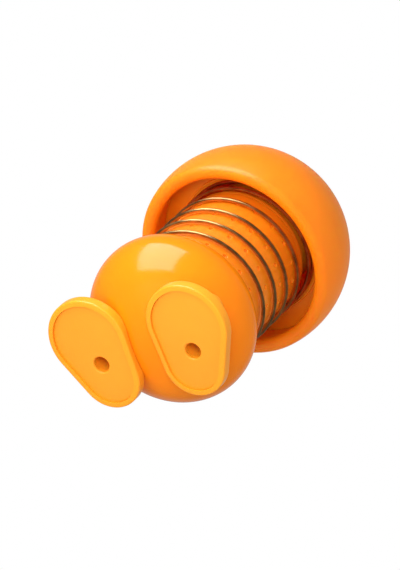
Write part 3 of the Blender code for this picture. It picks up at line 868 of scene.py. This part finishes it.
class MakeBarrel(bpy.types.Operator):
    """Dimpled barrel with the collar that closes the ball"""
    bl_idname = "egg_slicer.barrel"
    bl_label = "Barrel"

    def execute(self, context):
        body = context.scene.slicer_body
        foot = body.ball_radius * cos(ellipse_angle(body.ball_half_height, body.ball_z,
                                                    COLLAR_FOOT_Z))
        top = body.ball_radius * cos(ellipse_angle(body.ball_half_height, body.ball_z,
                                                   COLLAR_TOP_Z))
        seal_half = (SEAL_HIGH.z - SEAL_LOW.z) / 2 + GAP
        seal_z = (SEAL_HIGH.z + SEAL_LOW.z) / 2
        groove = SEAL_RADIUS - seal_half
        outer = BARREL_WALL_RADIUS
        spring = context.scene.slicer_barrel
        well = spring.spring_radius + spring.wire_radius + GAP
        barrel = tube("barrel_tube", [
            (outer, BARREL_HIGH.z, 0.0006), (outer, WELL_FLOOR_Z, 0.0003),
            (well, WELL_FLOOR_Z, 0.0003), (well, COLLAR_TOP_Z, 0.0002),
            (top, COLLAR_TOP_Z, 0.0003), (foot, COLLAR_FOOT_Z, 0.0002),
            (PLUG_RADIUS, COLLAR_FOOT_Z, 0.0001), (PLUG_RADIUS, seal_z + seal_half, 0.0001),
            (groove, seal_z + seal_half, 0), (groove, seal_z - seal_half, 0),
            (PLUG_RADIUS, seal_z - seal_half, 0.0001), (PLUG_RADIUS, PLUG_FOOT_Z, 0.0002),
            (outer, PLUG_FOOT_Z, 0.0002), (outer, BARREL_LOW.z, 0.0004),
            (BARREL_BORE, BARREL_LOW.z, 0.0005), (BARREL_BORE, BARREL_STEP_Z, 0),
            (BARREL_TOP_BORE, BARREL_STEP_Z, 0.0003), (BARREL_TOP_BORE, BARREL_HIGH.z, 0.0006)])
        carve(barrel, dimple_pins(spring))
        done(barrel, "barrel_unit", "barrel", "satin_orange")
        return {"FINISHED"}


class MakeBarrelTrim(bpy.types.Operator):
    """O-ring in the barrel's groove, washer under the spring and bumper on the top"""
    bl_idname = "egg_slicer.barrel_trim"
    bl_label = "Seal, Washer and Bumper"

    def execute(self, context):
        z = (SEAL_LOW.z + SEAL_HIGH.z) / 2
        wire = (SEAL_HIGH.z - SEAL_LOW.z) / 2
        seal = turn("o_ring", arc((SEAL_RADIUS, z), wire, 0, -2 * pi, 20)[:-1], closed=True)
        done(seal, "barrel_unit", "collar_seal", "black_rubber", 60)
        bore = BARREL_WALL_RADIUS + GAP
        washer = tube("seat_washer", [
            (WASHER_HIGH.x, WASHER_HIGH.z, 0.00015), (WASHER_HIGH.x, WASHER_LOW.z, 0.00015),
            (bore, WASHER_LOW.z, 0.0001), (bore, WASHER_HIGH.z, 0.0001)], 3)
        done(washer, "barrel_unit", "spring_washer", "steel")
        low, high = BUMPER_LOW.z, BUMPER_HIGH.z
        bore = BARREL_TOP_BORE + GAP
        bumper = tube("bumper_ring", [
            (BUMPER_HIGH.x - (high - low) / 2, high, 0.0003),
            (BUMPER_HIGH.x, (low + high) / 2, 0.0004),
            (BUMPER_HIGH.x, low, 0.0001), (bore, low, 0.0001), (bore, high, 0.0004)])
        done(bumper, "barrel_unit", "stroke_bumper", "orange_rubber")
        return {"FINISHED"}


# ---- Spring ------------------------------------------------------------------------
def coil_height(turns, pitch):
    """Height gained after some turns: level wire, ramp, open coil, ramp, level wire."""
    height = 0.0
    stages = ((FLAT_TURNS, 0, 0), (RAMP_TURNS, 0, pitch), (ACTIVE_TURNS, pitch, pitch),
              (RAMP_TURNS, pitch, 0), (FLAT_TURNS, 0, 0))
    for stage, pitch_in, pitch_out in stages:
        run = min(turns, stage)
        height += run * pitch_in + (pitch_out - pitch_in) * run ** 2 / (2 * stage)
        turns -= run
    return height


class MakeSpring(bpy.types.Operator):
    """Coil spring with closed ends"""
    bl_idname = "egg_slicer.spring"
    bl_label = "Return Spring"

    def execute(self, context):
        size = context.scene.slicer_barrel
        wire = size.wire_radius
        rise = SPRING_HIGH.z - SPRING_LOW.z - 2 * wire
        pitch = rise / (ACTIVE_TURNS + RAMP_TURNS)
        total = 2 * FLAT_TURNS + 2 * RAMP_TURNS + ACTIVE_TURNS
        count = round(total * COIL_POINTS_IN_TURN)
        deselect_all()
        bpy.ops.curve.primitive_nurbs_path_add()
        spring = bpy.context.object
        spring.name = "spring_coil"
        spring.location = (0, 0, 0)
        curve = spring.data
        curve.splines.clear()
        line = curve.splines.new("POLY")
        line.points.add(count)
        for i, point in enumerate(line.points):
            turns = total * i / count
            around = COIL_START + 2 * pi * turns
            z = SPRING_LOW.z + wire + coil_height(turns, pitch)
            point.co = (size.spring_radius * cos(around), size.spring_radius * sin(around), z, 1)
        curve.bevel_depth = wire
        curve.bevel_resolution = 6
        curve.use_fill_caps = True
        choose(spring)
        bpy.ops.object.convert(target="MESH")
        edit(spring)
        select_everything()
        bpy.ops.mesh.remove_doubles(threshold=WELD)
        bpy.ops.mesh.normals_make_consistent(inside=False)
        leave_edit()
        done(spring, "barrel_unit", "return_spring", "spring_bronze", 50)
        press = next(j for j in frame["joints"] if j["name"] == "head_press")
        travel = max(abs(limit) for limit in press["range_m"])
        free = SPRING_HIGH.z - SPRING_LOW.z
        (free - travel) / free
        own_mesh(spring)
        return {"FINISHED"}


# ---- Head unit ---------------------------------------------------------------------
def dome_profile(size):
    """Down the outside from the top, round the lip, up the inside to the ceiling."""
    inner = size.dome_radius - size.dome_wall
    lip_out = size.dome_radius - size.lip_radius
    lip_centre = (lip_out * cos(LIP_START), DOME_Z - lip_out * sin(LIP_START))
    ledge = RING_GROOVE_RADIUS - RING_LEDGE
    low, high = RING_GROOVE_Z
    straight_top = acos(DOME_STRAIGHT_RADIUS / inner)
    outside = ellipse_arc(size.dome_radius, size.dome_radius, DOME_Z, pi / 2, -LIP_START, 72)
    lip = arc(lip_centre, size.lip_radius, -LIP_START, -pi, 22)[1:]
    groove = rounded([(*lip[-1], 0), (ledge, low, 0.0003), (RING_GROOVE_RADIUS, low, 0),
                      (RING_GROOVE_RADIUS, high, 0), (DOME_STRAIGHT_RADIUS, high, 0.0002),
                      (DOME_STRAIGHT_RADIUS, DOME_HIGH.z, 0)], 4)[1:-1]
    ceiling = ellipse_arc(inner, inner, DOME_Z, straight_top, pi / 2, 48)
    return outside + lip + groove + ceiling


def ceiling_screw_places():
    places = []
    for i in range(1, SLEEVE_SCREWS + 1):
        low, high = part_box(f"plunger_screw_{i}")
        places.append(((low.x + high.x) / 2, (low.y + high.y) / 2))
    return places


class MakeDome(bpy.types.Operator):
    """Dome with its rolled lip, ring groove and screw bosses"""
    bl_idname = "egg_slicer.dome"
    bl_label = "Dome"

    def execute(self, context):
        size = context.scene.slicer_head
        dome = turn("dome_shell", dome_profile(size), ROUND_STEPS)
        reach = SLEEVE_SCREW_CIRCLE + BOSS_RADIUS
        boss_top = DOME_Z + sqrt(size.dome_radius ** 2 - reach ** 2) - GAP
        for x, y in ceiling_screw_places():
            merge_in(dome, rod("boss", BOSS_RADIUS, SLEEVE_HIGH.z + GAP, boss_top, x, y))
            carve(dome, rod("hole", SCREW_HOLE, SLEEVE_HIGH.z - GAP, PLUNGER_SCREW_HIGH.z + GAP,
                            x, y))
        done(dome, "head_unit", "head_shell", "satin_orange", finish="dome_orange")
        return {"FINISHED"}


class MakeGuideRing(bpy.types.Operator):
    """Ring clipped into the dome, the spring's upper seat"""
    bl_idname = "egg_slicer.guide_ring"
    bl_label = "Guide Ring"

    def execute(self, context):
        bore = BARREL_WALL_RADIUS + GUIDE_PLAY
        collar = bore + GUIDE_COLLAR
        low = RING_GROOVE_Z[0] + 2 * GAP
        high = RING_GROOVE_Z[1] - GAP
        spring = context.scene.slicer_barrel
        locator = spring.spring_radius + spring.wire_radius + LOCATOR_PLAY
        rib = locator + LOCATOR_WALL
        ring = tube("spring_seat_ring", [
            (collar, GUIDE_HIGH.z, 0.0003), (collar, high, 0.0004), (GUIDE_HIGH.x, high, 0.0003),
            (GUIDE_HIGH.x, low, 0.0003), (rib, low, 0.0002), (rib, GUIDE_LOW.z, 0.0003),
            (locator, GUIDE_LOW.z, 0.0003), (locator, low, 0.0001), (bore, low, 0.0004),
            (bore, GUIDE_HIGH.z, 0.0003)], 4)
        done(ring, "head_unit", "guide_ring", "satin_orange")
        return {"FINISHED"}


class MakePlunger(bpy.types.Operator):
    """Sleeve that slides in the barrel and the ring that holds the blades"""
    bl_idname = "egg_slicer.plunger"
    bl_label = "Plunger"

    def execute(self, context):
        flange = SLEEVE_HIGH.z - SLEEVE_FLANGE
        sleeve = tube("sleeve_tube", [
            (SLEEVE_HIGH.x, SLEEVE_HIGH.z, 0.0004), (SLEEVE_HIGH.x, SLEEVE_LOW.z, 0.0003),
            (SLEEVE_BORE, SLEEVE_LOW.z, 0.0003), (SLEEVE_BORE, flange, 0.0010),
            (SLEEVE_FLANGE_BORE, flange, 0.0004), (SLEEVE_FLANGE_BORE, SLEEVE_HIGH.z, 0.0004)])
        for x, y in ceiling_screw_places():
            carve(sleeve, rod("hole", SCREW_HOLE, flange - GAP, SLEEVE_HIGH.z + GAP, x, y))
        done(sleeve, "head_unit", "plunger_sleeve", "pale_orange")
        self.make_blade_ring(context.scene.slicer_head)
        return {"FINISHED"}

    def make_blade_ring(self, size):
        low, high = BLADE_RING_LOW.z, BLADE_RING_HIGH.z
        edge = BLADE_RING_HIGH.x
        ring = tube("blade_holder", [
            (edge, high, 0.0003), (edge, low, 0.0008), (BLADE_RING_BORE, low, 0.0006),
            (BLADE_RING_BORE, high, 0.0003)])
        for i in range(BLADE_BARS):
            slot = blade_bar(f"slot_{i}", BLADES_HIGH.x + GAP, size.blade_thickness / 2 + GAP,
                             low - GAP, high + GAP, 0)
            rotate_mesh(slot, 180 / BLADE_BARS * i)
            carve(ring, slot)
        done(ring, "head_unit", "blade_ring", "pale_orange")


def blade_bar(name, reach, half_thickness, low, high, ground):
    """A full-width bar through the axis; ground above 0 gives it a cutting edge below."""
    bar = block(name, (2 * reach, 2 * half_thickness, high - low), (low + high) / 2)
    if ground:
        edit(bar)
        select_everything()
        bpy.ops.mesh.bisect(plane_co=(0, 0, low + ground), plane_no=(0, 0, 1))
        pick_faces(lambda f: f.normal.z < -0.9)
        bpy.ops.transform.resize(value=(1, 0.06, 1), center_override=(0, 0, low))
        leave_edit()
    return bar


class MakeBlades(bpy.types.Operator):
    """Star of six steel blades with ground edges"""
    bl_idname = "egg_slicer.blades"
    bl_label = "Blades"

    def execute(self, context):
        size = context.scene.slicer_head
        bars = []
        for i in range(BLADE_BARS):
            bar = blade_bar(f"bar_{i}", BLADES_HIGH.x, size.blade_thickness / 2, BLADES_LOW.z,
                            BLADES_HIGH.z, size.blade_edge)
            rotate_mesh(bar, 180 / BLADE_BARS * i)
            bars.append(bar)
        star = bars[0]
        for bar in bars[1:]:
            merge_in(star, bar)
        star.name = "blade_star"
        done(star, "head_unit", "wedge_blades", "blade_steel", 20)
        return {"FINISHED"}


# ---- Stage -------------------------------------------------------------------------
def softbox(name, target, direction, distance, size, power, roll=0.0, glossy=True):
    """A rectangular light that faces a target, unseen by the camera."""
    deselect_all()
    bpy.ops.object.light_add(type="AREA")
    lamp = bpy.context.object
    lamp.name = name
    lamp.data.shape = "RECTANGLE"
    lamp.data.size, lamp.data.size_y = size
    lamp.data.energy = power
    lamp.location = target + direction.normalized() * distance
    lamp.rotation_mode = "QUATERNION"
    lamp.rotation_quaternion = ((-direction).to_track_quat("-Z", "Y")
                                @ Quaternion((0, 0, 1), roll))
    lamp.visible_camera = False
    lamp.visible_glossy = glossy


class MakeStage(bpy.types.Operator):
    """Camera, softboxes, white surroundings and a one-sided floor"""
    bl_idname = "egg_slicer.stage"
    bl_label = "Stage"

    def execute(self, context):
        look = context.scene.slicer_stage
        context.scene.view_settings.view_transform = "Standard"
        right, up, back = self.place_camera(context, look)
        self.light_world(context, look, back)
        softbox("overhead_softbox", TOES, up * 0.888 - right * 0.4 + back * 0.228, 0.40,
                (0.48, 0.34), look.overhead_power, roll=look.overhead_roll)
        softbox("side_softbox", MIDDLE, back * 0.8 - right * 0.6, 0.8, (0.6, 0.6),
                look.side_power, glossy=False)
        softbox("front_softbox", MIDDLE, back + up * 0.14, 0.9, (0.3, 0.3),
                look.front_power, glossy=False)
        softbox("rear_softbox", MIDDLE, Vector((0.2, 0.8, 0.8)), 0.6, (0.5, 0.5),
                look.rear_power, glossy=False)
        self.lay_floor()
        return {"FINISHED"}

    def place_camera(self, context, look):
        """The camera looks up at the soles from the toes' side, turned about its own axis."""
        back = Vector((sin(look.azimuth) * cos(look.elevation),
                       -cos(look.azimuth) * cos(look.elevation), sin(look.elevation)))
        deselect_all()
        bpy.ops.object.camera_add()
        camera = bpy.context.object
        camera.data.sensor_width = 36
        camera.data.lens = 36 * look.distance / look.view_height
        facing = (-back).to_track_quat("-Z", "Y") @ Quaternion((0, 0, 1), look.roll)
        right = facing @ Vector((1, 0, 0))
        up = facing @ Vector((0, 1, 0))
        ball = Vector((0, 0, context.scene.slicer_body.ball_z))
        target = ball + right * look.shift_right + up * look.shift_up
        camera.rotation_mode = "QUATERNION"
        camera.rotation_quaternion = facing
        camera.location = target + back * look.distance
        camera.data.clip_start = 0.01
        context.scene.camera = camera
        return right, up, back

    def light_world(self, context, look, back):
        """White behind the object, its glow in the gloss of the edges, and a soft fill."""
        world = context.scene.world or bpy.data.worlds.new("studio")
        context.scene.world = world
        world.use_nodes = True
        tree = world.node_tree
        background = tree.nodes["Background"]
        background.inputs["Color"].default_value = (1, 1, 1, 1)
        path = tree.nodes.new("ShaderNodeLightPath")
        place = tree.nodes.new("ShaderNodeTexCoord")
        facing = tree.nodes.new("ShaderNodeVectorMath")
        facing.operation = "DOT_PRODUCT"
        facing.inputs[1].default_value = -back
        tree.links.new(place.outputs["Generated"], facing.inputs[0])
        glow = self.level(tree, facing.outputs["Value"], look.room_glow, look.backdrop_glow,
                          cos(GLOW_EDGE), cos(GLOW_CORE))
        fill = self.level(tree, path.outputs["Is Glossy Ray"], look.ambient, glow)
        total = self.level(tree, path.outputs["Is Camera Ray"], fill, look.background)
        tree.links.new(total, background.inputs["Strength"])

    def level(self, tree, share, low, high, start=0.0, end=1.0):
        """A strength that goes from low to high as the share goes from start to end."""
        level = tree.nodes.new("ShaderNodeMapRange")
        level.inputs["From Min"].default_value = start
        level.inputs["From Max"].default_value = end
        tree.links.new(share, level.inputs["Value"])
        for socket, value in ((level.inputs["To Min"], low), (level.inputs["To Max"], high)):
            if isinstance(value, float):
                socket.default_value = value
            else:
                tree.links.new(value, socket)
        return level.outputs[0]

    def lay_floor(self):
        """A pale floor that is clear from below and neither lights nor shades the object."""
        deselect_all()
        bpy.ops.mesh.primitive_plane_add(size=6)
        floor = bpy.context.object
        floor.name = "floor"
        finish = Finish("floor")
        mottle = finish.noise(3.0, 3.0)
        tone = finish.blend(finish.ramp(mottle, 0.3, 0.7), (0.86, 0.86, 0.86), (0.89, 0.89, 0.89))
        finish.apply(base_color=tone, roughness=0.6 + mottle * 0.1)
        tree = finish.tree
        clear = tree.nodes.new("ShaderNodeBsdfTransparent")
        mixer = tree.nodes.new("ShaderNodeMixShader")
        side = tree.nodes.new("ShaderNodeNewGeometry")
        tree.links.new(side.outputs["Backfacing"], mixer.inputs[0])
        tree.links.new(finish.shader.outputs[0], mixer.inputs[1])
        tree.links.new(clear.outputs[0], mixer.inputs[2])
        tree.links.new(mixer.outputs[0], tree.nodes["Material Output"].inputs["Surface"])
        floor.data.materials.append(finish.material)
        floor.visible_diffuse = False
        floor.visible_glossy = False
        floor.visible_shadow = False


# ---- Add-on ------------------------------------------------------------------------
class SlicerPanel(bpy.types.Panel):
    """Buttons for the pieces and the stage, with their settings"""
    bl_idname = "VIEW3D_PT_egg_slicer"
    bl_label = "Egg Slicer"
    bl_space_type = "VIEW_3D"
    bl_region_type = "UI"
    bl_category = "Egg Slicer"

    def draw(self, context):
        layout = self.layout
        for step in STEPS:
            layout.operator(step.bl_idname)
        for group in GROUPS:
            box = layout.box()
            settings = getattr(context.scene, group)
            for name in settings.bl_rna.properties.keys():
                if name not in {"rna_type", "name"}:
                    box.prop(settings, name)


GROUPS = {
    "slicer_body": SlicerBody,
    "slicer_barrel": SlicerBarrel,
    "slicer_head": SlicerHead,
    "slicer_finishes": SlicerFinishes,
    "slicer_stage": SlicerStage,
}
STEPS = (MakeStage, MakeBallShell, MakeEggCup, MakeFeet, MakeSoles, MakeScrews, MakeBarrel,
         MakeBarrelTrim, MakeSpring, MakeDome, MakeGuideRing, MakePlunger, MakeBlades)
CLASSES = (*GROUPS.values(), *STEPS, SlicerPanel)


def register():
    for made in CLASSES:
        bpy.utils.register_class(made)
    for name, group in GROUPS.items():
        setattr(bpy.types.Scene, name, bpy.props.PointerProperty(type=group))


def unregister():
    for name in GROUPS:
        delattr(bpy.types.Scene, name)
    for made in reversed(CLASSES):
        bpy.utils.unregister_class(made)


def main():
    register()
    for step in STEPS:
        family, name = step.bl_idname.split(".")
        getattr(getattr(bpy.ops, family), name)()


if __name__ == "__main__":
    main()
